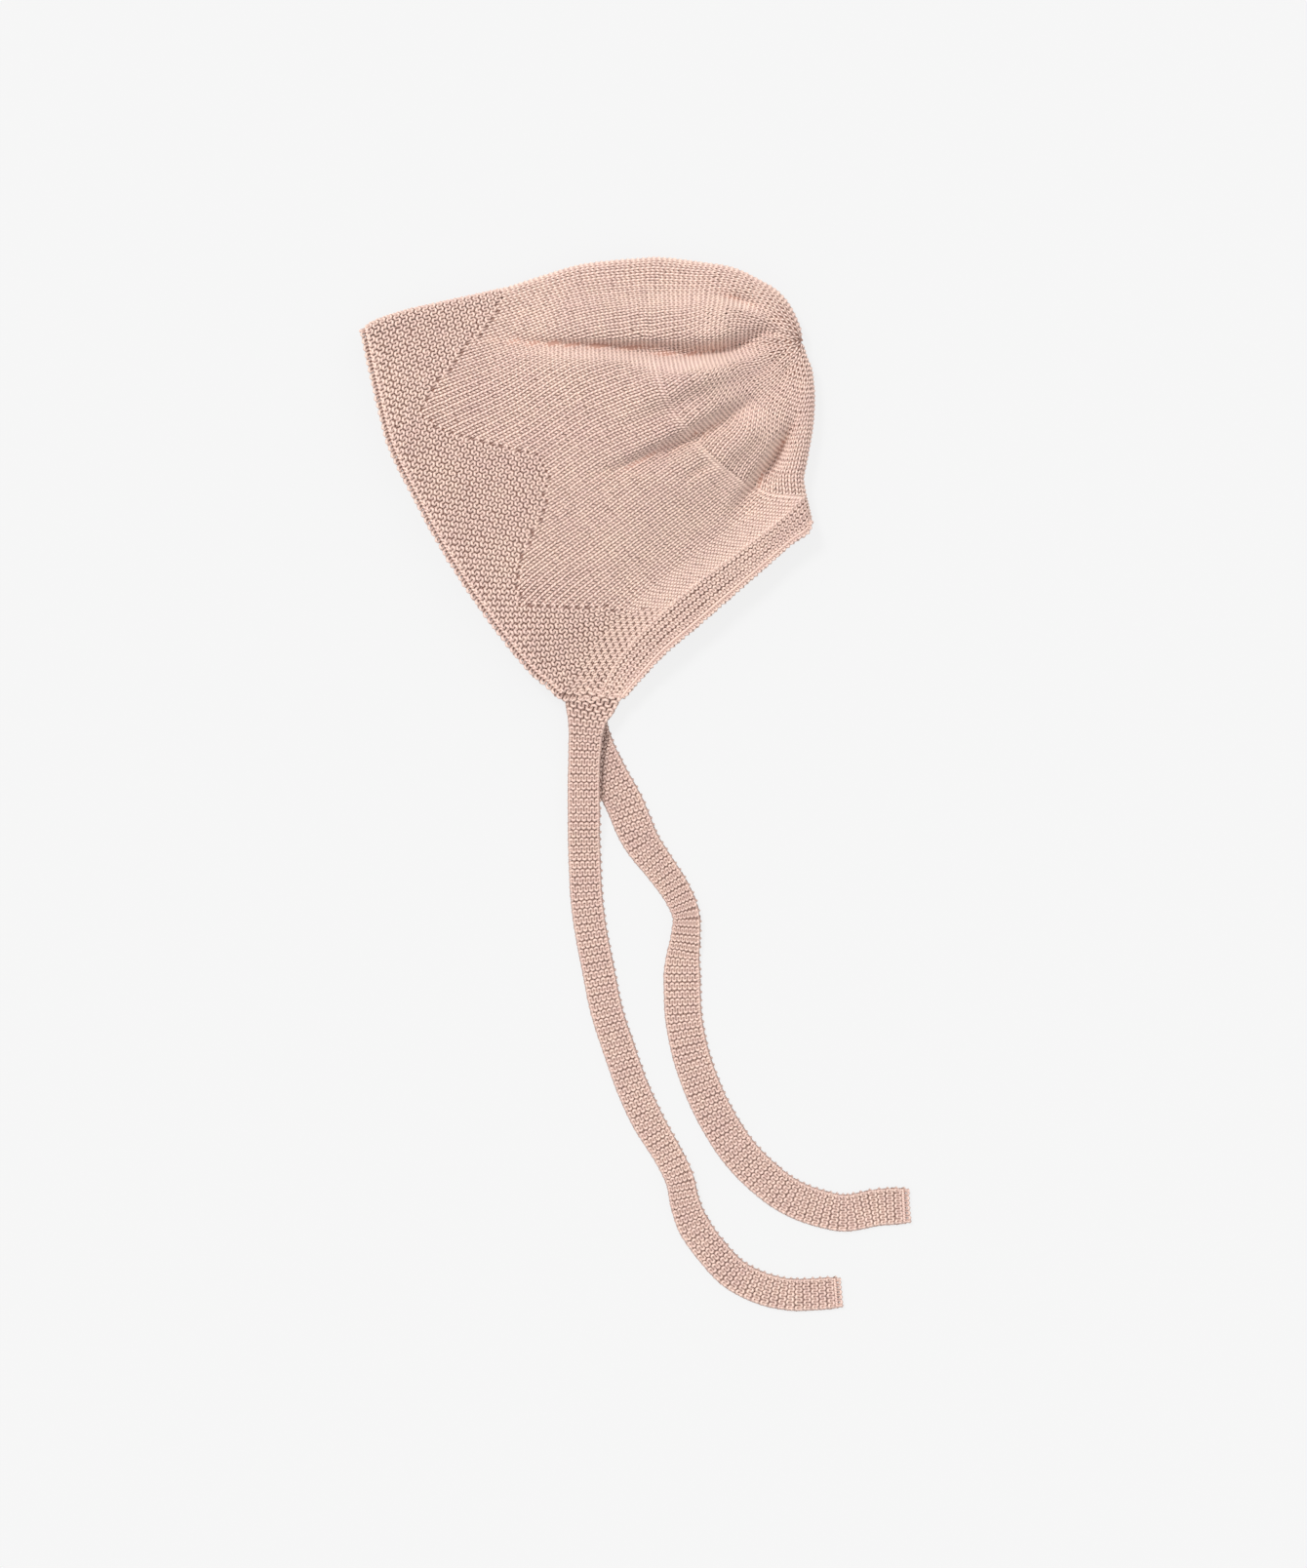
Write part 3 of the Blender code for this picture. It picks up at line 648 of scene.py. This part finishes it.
def tubes(paths, normals, radius, front):
    """Round yarns through rows of points, with a flat map for baking, one along the yarn, and a painted
    shade that darkens where the yarn lies back and on the side of each yarn that faces into the fabric."""
    rows, count = paths.shape[:2]
    tangent = np.gradient(paths, axis=1)
    tangent /= np.maximum(np.linalg.norm(tangent, axis=2), 1e-12)[..., None]
    side = np.cross(tangent, normals)
    side /= np.maximum(np.linalg.norm(side, axis=2), 1e-12)[..., None]
    up = np.cross(side, tangent)
    turn = np.linspace(0.0, 2 * math.pi, SIDES, endpoint=False) + math.pi / 2
    ring = np.cos(turn)[:, None] * side[:, :, None] + np.sin(turn)[:, None] * up[:, :, None]
    verts = paths[:, :, None] + ring * np.broadcast_to(radius, paths.shape[:2])[..., None, None]
    index = np.arange(rows * count * SIDES).reshape(rows, count, SIDES)
    beside = np.roll(index, -1, axis=2)
    corners = (index[:, :-1, :], index[:, 1:, :], beside[:, 1:, :], beside[:, :-1, :])
    quads = np.stack(corners, axis=-1).reshape(-1, 4)
    length = np.linalg.norm(np.diff(paths, axis=1), axis=2)
    run = np.concatenate([np.zeros((rows, 1)), np.cumsum(length, axis=1)], axis=1)
    places = (np.arange(rows), np.arange(count - 1), np.arange(SIDES))
    row_at, step_at, side_at = np.meshgrid(*places, indexing="ij")
    strip = STRIP_SHARE / SIDES
    low = (row_at + STRIP_MARGIN + side_at * strip) / rows
    high = (row_at + STRIP_MARGIN + (side_at + 1) * strip) / rows
    bake = box_corners(step_at / (count - 1), (step_at + 1) / (count - 1), low, high)
    millimetres = run * 1000
    yarn = box_corners(millimetres[row_at, step_at], millimetres[row_at, step_at + 1],
                       side_at / SIDES, (side_at + 1) / SIDES)
    ends = np.concatenate([index[:, 0, ::-1], index[:, -1, :]])
    quads = np.concatenate([quads, ends])
    bake = np.concatenate([bake, np.repeat(bake[:1], ends.size, axis=0)])
    yarn = np.concatenate([yarn, np.repeat(yarn[:1], ends.size, axis=0)])
    outward = (ring * normals[:, :, None]).sum(axis=3)
    # Painted shade: darker where the yarn lies back and on the side of the yarn that faces into the
    # fabric
    shade = SHADE_MIDDLE + SHADE_LOOP * front[..., None] + SHADE_ROUND * outward
    return {"verts": verts.reshape(-1, 3), "quads": quads, "bake": bake, "yarn": yarn,
            "shade": np.clip(shade, 0.0, 1.0).ravel()}


def box_corners(left, right, low, high):
    corners = [np.stack(pair, -1) for pair in ((left, low), (right, low), (right, high), (left, high))]
    return np.stack(corners, axis=-2).reshape(-1, 2)


def joined(parts):
    """Several runs of yarn as one, their flat maps side by side."""
    weight = np.array([len(part["quads"]) for part in parts], float)
    edge = np.concatenate([[0.0], np.cumsum(weight / weight.sum())])
    quads = []
    bake = []
    first = 0
    for part, low, high in zip(parts, edge, edge[1:]):
        quads.append(part["quads"] + first)
        first += len(part["verts"])
        bake.append(part["bake"] * (1.0, (high - low) * PART_SHARE) + (0.0, low))
    return {"verts": np.vstack([part["verts"] for part in parts]), "quads": np.vstack(quads),
            "bake": np.vstack(bake), "yarn": np.vstack([part["yarn"] for part in parts]),
            "shade": np.concatenate([part["shade"] for part in parts])}


def to_object(name, data, material):
    mesh = bpy.data.meshes.new(name)
    verts, quads = data["verts"], data["quads"]
    mesh.vertices.add(len(verts))
    mesh.vertices.foreach_set("co", verts.astype(np.float32).ravel())
    mesh.loops.add(quads.size)
    mesh.loops.foreach_set("vertex_index", quads.astype(np.int32).ravel())
    mesh.polygons.add(len(quads))
    mesh.polygons.foreach_set("loop_start", np.arange(0, quads.size, 4, dtype=np.int32))
    mesh.polygons.foreach_set("loop_total", np.full(len(quads), 4, np.int32))
    mesh.update(calc_edges=True)
    for key, label in (("bake", "OFBake"), ("yarn", "Yarn")):
        if key in data:
            layer = mesh.uv_layers.new(name=label)
            layer.data.foreach_set("uv", data[key].astype(np.float32).ravel())
    if "shade" in data:
        layer = mesh.attributes.new("Shade", "FLOAT", "POINT")
        layer.data.foreach_set("value", data["shade"].astype(np.float32))
    mesh.validate()
    mesh.shade_smooth()
    mesh.materials.append(material)
    piece = bpy.data.objects.new(name, mesh)
    bpy.context.scene.collection.objects.link(piece)
    return piece


def knit(skin, rows, wales, along_of, sign_of, steps, knob=0.0):
    """Rows of looped yarn on a skin. along_of(across, row) gives the place of a row, and
    sign_of(across, row) the side that its loops are drawn to: -1 is plain, +1 purl."""
    count = int(wales * steps) + 1
    turn = np.linspace(0.0, 2 * math.pi * wales, count)
    turn = turn - LOOP_ROUNDING * np.sin(2 * turn)
    stitch = turn / (2 * math.pi)
    rows = np.asarray(rows, float)
    shape = (len(rows), count)
    wobble = rng.normal(0.0, 1.0, (4, len(rows), wales + 2))
    knots = np.arange(wales + 2) - 0.5
    wob = np.array([[np.interp(stitch, knots, line) for line in layer] for layer in wobble])
    head_at = np.round(stitch) / wales
    foot_at = (np.floor(stitch) + 0.5) / wales
    row_grid = np.broadcast_to(rows[:, None], shape)
    head_sign = sign_of(np.broadcast_to(np.clip(head_at, 0, 1), shape), row_grid + 1)
    foot_sign = sign_of(np.broadcast_to(np.clip(foot_at, 0, 1), shape), row_grid)
    mean = (head_sign + foot_sign) / 2
    flat = np.abs(mean)
    loop = [garter * (1 - flat) + plain * flat for garter, plain in zip(GARTER_LOOP, PLAIN_LOOP)]
    reach, spread, depth, thick = loop
    uneven = 1 + UNEVEN_SPREAD * wob[0]
    x = stitch + spread * np.sin(2 * turn) * uneven + UNEVEN_PLACE * wob[1]
    across = np.clip(x / wales, 0.0, 1.0)
    lines = row_grid + reach * np.cos(turn) * (1 + UNEVEN_REACH * wob[2]) + UNEVEN_ROW * wob[3]
    place, normal = skin.beyond(across, along_of(across, lines))
    cos = np.cos(turn)
    head = np.clip(cos, 0, 1) ** 2
    foot = np.clip(-cos, 0, 1) ** 2
    front = head * head_sign + foot * foot_sign - np.sin(turn) ** 2 * mean
    paths = place + normal * (depth * front * uneven)[..., None]
    step = np.linalg.norm(np.diff(place[:, ::steps], axis=1), axis=2)
    step = np.concatenate([step, step[:, -1:]], axis=1)
    width = np.array([np.interp(stitch, np.arange(wales + 1), line) for line in step])
    fit = np.minimum(1.0, width / FULL_STITCH) ** SQUEEZE_POWER
    radius = thick * fit * (1 + FRONT_SWELL * front) * (1 + UNEVEN_YARN * wob[1])
    if knob > 0:
        at_end = np.exp(-(np.minimum(stitch, wales - stitch) / KNOB_REACH) ** 2)
        radius = radius * (1 + knob * at_end)
        # The knobs at the row ends are kept free of the painted shade
        front = front * (1 - at_end) + at_end
    # Garter stitch gets more painted shade than plain knit
    return tubes(paths, normal, radius, front - GARTER_SHADE * (1 - flat))


def edging(skin, along, waves, yarn, stop=1.0):
    """Two yarns wound round each other along one edge of a skin."""
    radius, swing = yarn
    count = waves * WOUND_STEPS + 1
    share = np.linspace(0.0, stop, count)
    turn = share * waves * 2 * math.pi
    place, normal = skin.beyond(share, np.full(count, along))
    inner, _ = skin.beyond(share, np.full(count, along - INWARD_STEP))
    inward = inner - place
    inward /= np.linalg.norm(inward, axis=1)[:, None]
    runs = []
    for half in (0.0, math.pi):
        front = np.cos(turn + half)
        line = place + swing * (np.sin(turn + half)[:, None] * inward + front[:, None] * normal)
        runs.append(tubes(line[None], normal[None], radius, front[None]))
    return joined(runs)


# Materials

def yarn_material(name, tint, rough):
    material = bpy.data.materials.new(name)
    material.use_nodes = True
    nodes, links = material.node_tree.nodes, material.node_tree.links
    shader = nodes["Principled BSDF"]
    shader.inputs["Roughness"].default_value = rough
    shader.inputs["Sheen Weight"].default_value = 0.35
    shader.inputs["Sheen Roughness"].default_value = 0.45
    shader.inputs["Sheen Tint"].default_value = (1.0, 0.86, 0.80, 1.0)
    shader.inputs["Specular IOR Level"].default_value = 0.25
    place = nodes.new("ShaderNodeTexCoord")
    broad = nodes.new("ShaderNodeTexNoise")
    broad.inputs["Scale"].default_value = 55.0
    broad.inputs["Detail"].default_value = 2.0
    fine = nodes.new("ShaderNodeTexNoise")
    fine.inputs["Scale"].default_value = 420.0
    fine.inputs["Detail"].default_value = 3.0
    links.new(place.outputs["Object"], broad.inputs["Vector"])
    links.new(place.outputs["Object"], fine.inputs["Vector"])
    blend = nodes.new("ShaderNodeMix")
    blend.data_type = "FLOAT"
    blend.inputs[0].default_value = 0.45
    links.new(fine.outputs["Fac"], blend.inputs[2])
    links.new(broad.outputs["Fac"], blend.inputs[3])
    ramp = nodes.new("ShaderNodeValToRGB")
    ramp.color_ramp.elements[0].position = 0.34
    ramp.color_ramp.elements[1].position = 0.66
    dark = (tint[0] * 0.95, tint[1] * 0.93, tint[2] * 0.95, 1.0)
    light = (min(tint[0] * 1.04, 1.0), tint[1] * 1.06, tint[2] * 1.03, 1.0)
    ramp.color_ramp.elements[0].color = dark
    ramp.color_ramp.elements[1].color = light
    links.new(blend.outputs[0], ramp.inputs["Fac"])
    # Painted shade: the Shade attribute darkens recessed yarn and the inner side of each yarn towards
    # the dark hollow colour
    depth = nodes.new("ShaderNodeAttribute")
    depth.attribute_name = "Shade"
    hollow_shade_ramp = nodes.new("ShaderNodeValToRGB")
    hollow_shade_ramp.color_ramp.elements[0].position = 0.35
    hollow_shade_ramp.color_ramp.elements[0].color = (*HOLLOW_SHADE, 1.0)
    hollow_shade_ramp.color_ramp.elements[1].position = 0.96
    hollow_shade_ramp.color_ramp.elements[1].color = (1.0, 1.0, 1.0, 1.0)
    links.new(depth.outputs["Fac"], hollow_shade_ramp.inputs["Fac"])
    tone = nodes.new("ShaderNodeMix")
    tone.data_type = "RGBA"
    tone.blend_type = "MULTIPLY"
    tone.inputs[0].default_value = 1.0
    links.new(ramp.outputs["Color"], tone.inputs[6])
    links.new(hollow_shade_ramp.outputs["Color"], tone.inputs[7])
    links.new(tone.outputs[2], shader.inputs["Base Color"])
    yarn = nodes.new("ShaderNodeUVMap")
    yarn.uv_map = "Yarn"
    lie = nodes.new("ShaderNodeMapping")
    lie.inputs["Scale"].default_value = (1.1, 3.0, 1.0)
    links.new(yarn.outputs["UV"], lie.inputs["Vector"])
    ply = nodes.new("ShaderNodeTexWave")
    ply.wave_type = "BANDS"
    ply.bands_direction = "DIAGONAL"
    ply.inputs["Scale"].default_value = 1.0
    ply.inputs["Distortion"].default_value = 1.2
    ply.inputs["Detail"].default_value = 1.0
    links.new(lie.outputs["Vector"], ply.inputs["Vector"])
    fluff = nodes.new("ShaderNodeTexNoise")
    fluff.inputs["Scale"].default_value = 9000.0
    fluff.inputs["Detail"].default_value = 2.0
    links.new(place.outputs["Object"], fluff.inputs["Vector"])
    both = nodes.new("ShaderNodeMath")
    both.operation = "ADD"
    links.new(ply.outputs["Fac"], both.inputs[0])
    links.new(fluff.outputs["Fac"], both.inputs[1])
    bump = nodes.new("ShaderNodeBump")
    bump.inputs["Strength"].default_value = 0.35
    bump.inputs["Distance"].default_value = 0.00006
    links.new(both.outputs["Value"], bump.inputs["Height"])
    links.new(bump.outputs["Normal"], shader.inputs["Normal"])
    return material


# Painted shade: a dark sheet, with random spots, that shows in the gaps between stitches
def shade_sheet_material(name, tint):
    material = bpy.data.materials.new(name)
    material.use_nodes = True
    nodes, links = material.node_tree.nodes, material.node_tree.links
    shader = nodes["Principled BSDF"]
    shader.inputs["Roughness"].default_value = 0.95
    place = nodes.new("ShaderNodeTexCoord")
    spots = nodes.new("ShaderNodeTexNoise")
    spots.inputs["Scale"].default_value = 700.0
    links.new(place.outputs["Object"], spots.inputs["Vector"])
    ramp = nodes.new("ShaderNodeValToRGB")
    ramp.color_ramp.elements[0].color = (tint[0] * 0.8, tint[1] * 0.8, tint[2] * 0.8, 1.0)
    ramp.color_ramp.elements[1].color = (*tint, 1.0)
    links.new(spots.outputs["Fac"], ramp.inputs["Fac"])
    links.new(ramp.outputs["Color"], shader.inputs["Base Color"])
    return material


# Cores: thin sheets under the yarns, coloured dark as painted shade between the stitches

def core(name, grid, material):
    """A thin sheet on a grid of points."""
    rows, columns = grid.shape[:2]
    index = np.arange(rows * columns).reshape(rows, columns)
    corners = (index[:-1, :-1], index[1:, :-1], index[1:, 1:], index[:-1, 1:])
    quads = np.stack(corners, axis=-1).reshape(-1, 4)
    piece = to_object(name, {"verts": grid.reshape(-1, 3), "quads": quads}, material)
    solid = piece.modifiers.new("wall", "SOLIDIFY")
    solid.thickness = CORE_WALL
    solid.offset = 0.0
    return piece


# Camera, light, floor

def make_camera():
    data = bpy.data.cameras.new("camera")
    data.sensor_width = SENSOR
    data.sensor_fit = "AUTO"
    data.lens = SENSOR * (CAMERA_HEIGHT - VIEW_LEVEL) / VIEW_HEIGHT_SPAN
    data.clip_end = 20.0
    camera = bpy.data.objects.new("camera", data)
    camera.location = (*VIEW_CENTRE, CAMERA_HEIGHT)
    bpy.context.scene.collection.objects.link(camera)
    bpy.context.scene.camera = camera


def make_light():
    world = bpy.data.worlds.new("studio")
    bpy.context.scene.world = world
    world.use_nodes = True
    sky = world.node_tree.nodes["Background"]
    sky.inputs["Color"].default_value = (1.0, 1.0, 1.0, 1.0)
    sky.inputs["Strength"].default_value = WORLD_LIGHT
    data = bpy.data.lights.new("key", "SUN")
    data.energy = KEY_LIGHT
    data.angle = math.radians(KEY_ANGLE)
    key = bpy.data.objects.new("key", data)
    key.rotation_euler = Vector(KEY_WAY).to_track_quat("-Z", "Y").to_euler()
    bpy.context.scene.collection.objects.link(key)
    bpy.context.scene.view_settings.view_transform = "Standard"


def make_floor():
    mesh = bpy.data.meshes.new("floor")
    size = FLOOR_HALF
    corners = [(-size, -size, 0), (size, -size, 0), (size, size, 0), (-size, size, 0)]
    mesh.from_pydata(corners, [], [(0, 1, 2, 3)])
    floor = bpy.data.objects.new("floor", mesh)
    bpy.context.scene.collection.objects.link(floor)
    material = bpy.data.materials.new("floor_paper")
    material.use_nodes = True
    nodes, links = material.node_tree.nodes, material.node_tree.links
    shader = nodes["Principled BSDF"]
    grain = nodes.new("ShaderNodeTexNoise")
    grain.inputs["Scale"].default_value = 3.0
    ramp = nodes.new("ShaderNodeValToRGB")
    for element, grey in zip(ramp.color_ramp.elements, FLOOR_GREYS):
        element.color = (grey, grey, grey, 1.0)
    links.new(grain.outputs["Fac"], ramp.inputs["Fac"])
    links.new(ramp.outputs["Color"], shader.inputs["Base Color"])
    shader.inputs["Roughness"].default_value = 1.0
    shader.inputs["Specular IOR Level"].default_value = 0.0
    shader.inputs["Emission Color"].default_value = (1.0, 1.0, 1.0, 1.0)
    shader.inputs["Emission Strength"].default_value = FLOOR_GLOW
    mesh.materials.append(material)


# The bonnet

def hood_rows(hood):
    """Place along the hood of a row of stitches, counted from the face edge, by share across."""
    across = np.linspace(0.0, 1.0, HOOD_COLUMNS)
    length = hood.length_at(across)
    band = 1 - hood.zigzag_at(across)
    garter = band * length / GARTER_PITCH
    crown = ROWS - garter

    def along_of(share, row):
        g = np.interp(share, across, garter)
        c = np.interp(share, across, crown)
        b = np.interp(share, across, band)
        in_band = 1 - b * row / g
        in_crown = (1 - b) * (1 - (row - g) / c)
        return np.where(row < g, in_band, in_crown)

    return along_of


def wale_bands(hood, most, narrow):
    """Runs of rows with the same number of wales, fewer towards the pole."""
    bands = []
    wales = most
    start = 0
    for row in range(ROWS):
        fit = hood.width_at(1 - (row + FIT_ROW) / ROWS) / narrow
        if fit < BAND_DROP * wales and wales > FEWEST_WALES:
            bands.append((start, row, wales))
            start = row
            wales = max(int(BAND_FILL * fit), FEWEST_WALES)
    bands.append((start, ROWS - 1, wales))
    return bands


def alternate(row):
    return np.where(np.floor(row + ROW_SLACK).astype(int) % 2 == 0, 1.0, -1.0)


def place_piece(piece):
    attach(piece, "root")


def make_ties(hood, yarn_look, shade_sheet_look):
    ties = (
        ("near_tie", NEAR_TIE_ROUTE, NEAR_TIE_SHAPE, NEAR_TIE_WIDTH, NEAR_TIE_WALES),
        ("far_tie", FAR_TIE_ROUTE, FAR_TIE_SHAPE, FAR_TIE_WIDTH, FAR_TIE_WALES),
    )
    for node, route, shape, width, wales in ties:
        skin, points, length = tie_skin(tie_line(hood, route), shape, width)
        rows = 2 * int(round(length / TIE_PITCH / 2))
        inner = (skin.grid - CORE_DROP * skin.normal)[TIE_CORE_STEPS, TIE_CORE_STEPS]
        body = core(node + "_core", inner, shade_sheet_look)
        loops = knit(skin, np.arange(-TIE_ROOT_ROWS, rows) + TIE_ROW_START, wales,
                     lambda share, row: row / rows, lambda share, row: alternate(row), TIE_STEPS, KNOB)
        end = edging(skin, (rows - TIE_END_ROW) / rows, wales, TIE_END_YARN)
        yarn = to_object(node + "_yarn", joined([loops, end]), yarn_look)
        for piece in (body, yarn):
            place_piece(piece)
        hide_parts(node)


def hood_signs(hood, along_of, table):
    """The side that the loops are drawn to: garter stitch outside the zigzag, plain inside it."""

    def sign_of(arc, row):
        along = along_of(arc, np.clip(row, 0, ROWS))
        y = np.clip(along, 0, 1) * (HOOD_ROWS - 1)
        x = np.clip(arc, 0, 1) * (HOOD_COLUMNS - 1)
        across = table[np.round(y).astype(int), np.round(x).astype(int)]
        return np.where(along > hood.zigzag_at(across), alternate(row), -1.0)

    return sign_of


def make_hood(hood, garter_look, crown_look, shade_sheet_look):
    (near, far), (near_table, far_table) = hood_skins(hood)
    along_of = hood_rows(hood)
    far_narrow = NARROW_STITCH * NEAR_WALES / FAR_WALES
    halves = (
        ("near", near, near_table, NEAR_WALES, NARROW_STITCH, NEAR_STEPS),
        ("far", far, far_table, FAR_WALES, far_narrow, FAR_STEPS),
    )
    parts = (
        ("face", 0, FACE_ROWS, garter_look, "garter_knit"),
        ("crown", FACE_ROWS, TOP_ROWS, crown_look, "crown_knit"),
        ("pole", TOP_ROWS, ROWS, crown_look, "crown_knit"),
    )
    for tag, skin, table, most, narrow, steps in halves:
        sign_of = hood_signs(hood, along_of, table)
        bands = wale_bands(hood, most, narrow)
        for part, first, last, look, slot in parts:
            runs = []
            for start, end, wales in bands:
                rows = np.arange(max(start, first), min(end, last))
                if len(rows):
                    runs.append(knit(skin, rows + HOOD_ROW_START, wales, along_of, sign_of, steps))
            if part == "face":
                runs.append(edging(skin, FACE_EDGE_AT, most, EDGE_YARN, EDGE_STOP))
            piece = to_object(f"{tag}_{part}_yarn", joined(runs), look)
            place_piece(piece)
    near_in = near.grid - CORE_DROP * near.normal
    far_in = far.grid - CORE_DROP * far.normal
    rows = slice(0, HOOD_ROWS - HOOD_CORE_TRIM, HOOD_CORE_ROW_STEP)
    step = HOOD_CORE_STEP
    grid = np.concatenate([far_in[rows, ::-step], near_in[rows, step::step]], axis=1)
    shade_sheet = core("hood_core", grid, shade_sheet_look)
    place_piece(shade_sheet)
    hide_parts("crown", "face_band")


def make_neck(hood, look, shade_sheet_look):
    inner = []
    halves = (("near", NEAR_NECK_WALES, NEAR_STEPS), ("far", FAR_NECK_WALES, FAR_STEPS))
    for tag, wales, steps in halves:
        skin = strip_skin(hood, tag == "near")
        loops = knit(skin, np.arange(NECK_ROWS + 1) + NECK_ROW_START, wales,
                     lambda share, row: row / NECK_ROWS, lambda share, row: alternate(row), steps)
        edge = edging(skin, NECK_EDGE_AT, wales, EDGE_YARN)
        piece = to_object(tag + "_neck_yarn", joined([loops, edge]), look)
        place_piece(piece)
        inner.append(skin.grid - CORE_DROP * skin.normal)
    near_in, far_in = inner
    rows = slice(0, -1, NECK_CORE_ROW_STEP)
    step = NECK_CORE_STEP
    grid = np.concatenate([far_in[rows, ::-step], near_in[rows, step::step]], axis=1)
    shade_sheet = core("neck_core", grid, shade_sheet_look)
    place_piece(shade_sheet)
    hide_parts("neck_band")


def main():
    make_camera()
    hood = Hood()
    crown_look = yarn_material("crown_yarn", PINK, CROWN_ROUGHNESS)
    garter_look = yarn_material("garter_yarn", PINK, GARTER_ROUGHNESS)
    tie_look = yarn_material("tie_yarn", TIE_PINK, GARTER_ROUGHNESS)
    # The sheets under the yarns carry painted shade between the stitches
    shade_sheet_look = shade_sheet_material("inner_knit", SHADE_SHEET_TINT)
    make_ties(hood, tie_look, shade_sheet_look)
    make_hood(hood, garter_look, crown_look, shade_sheet_look)
    make_neck(hood, garter_look, shade_sheet_look)
    make_floor()
    make_light()


main()
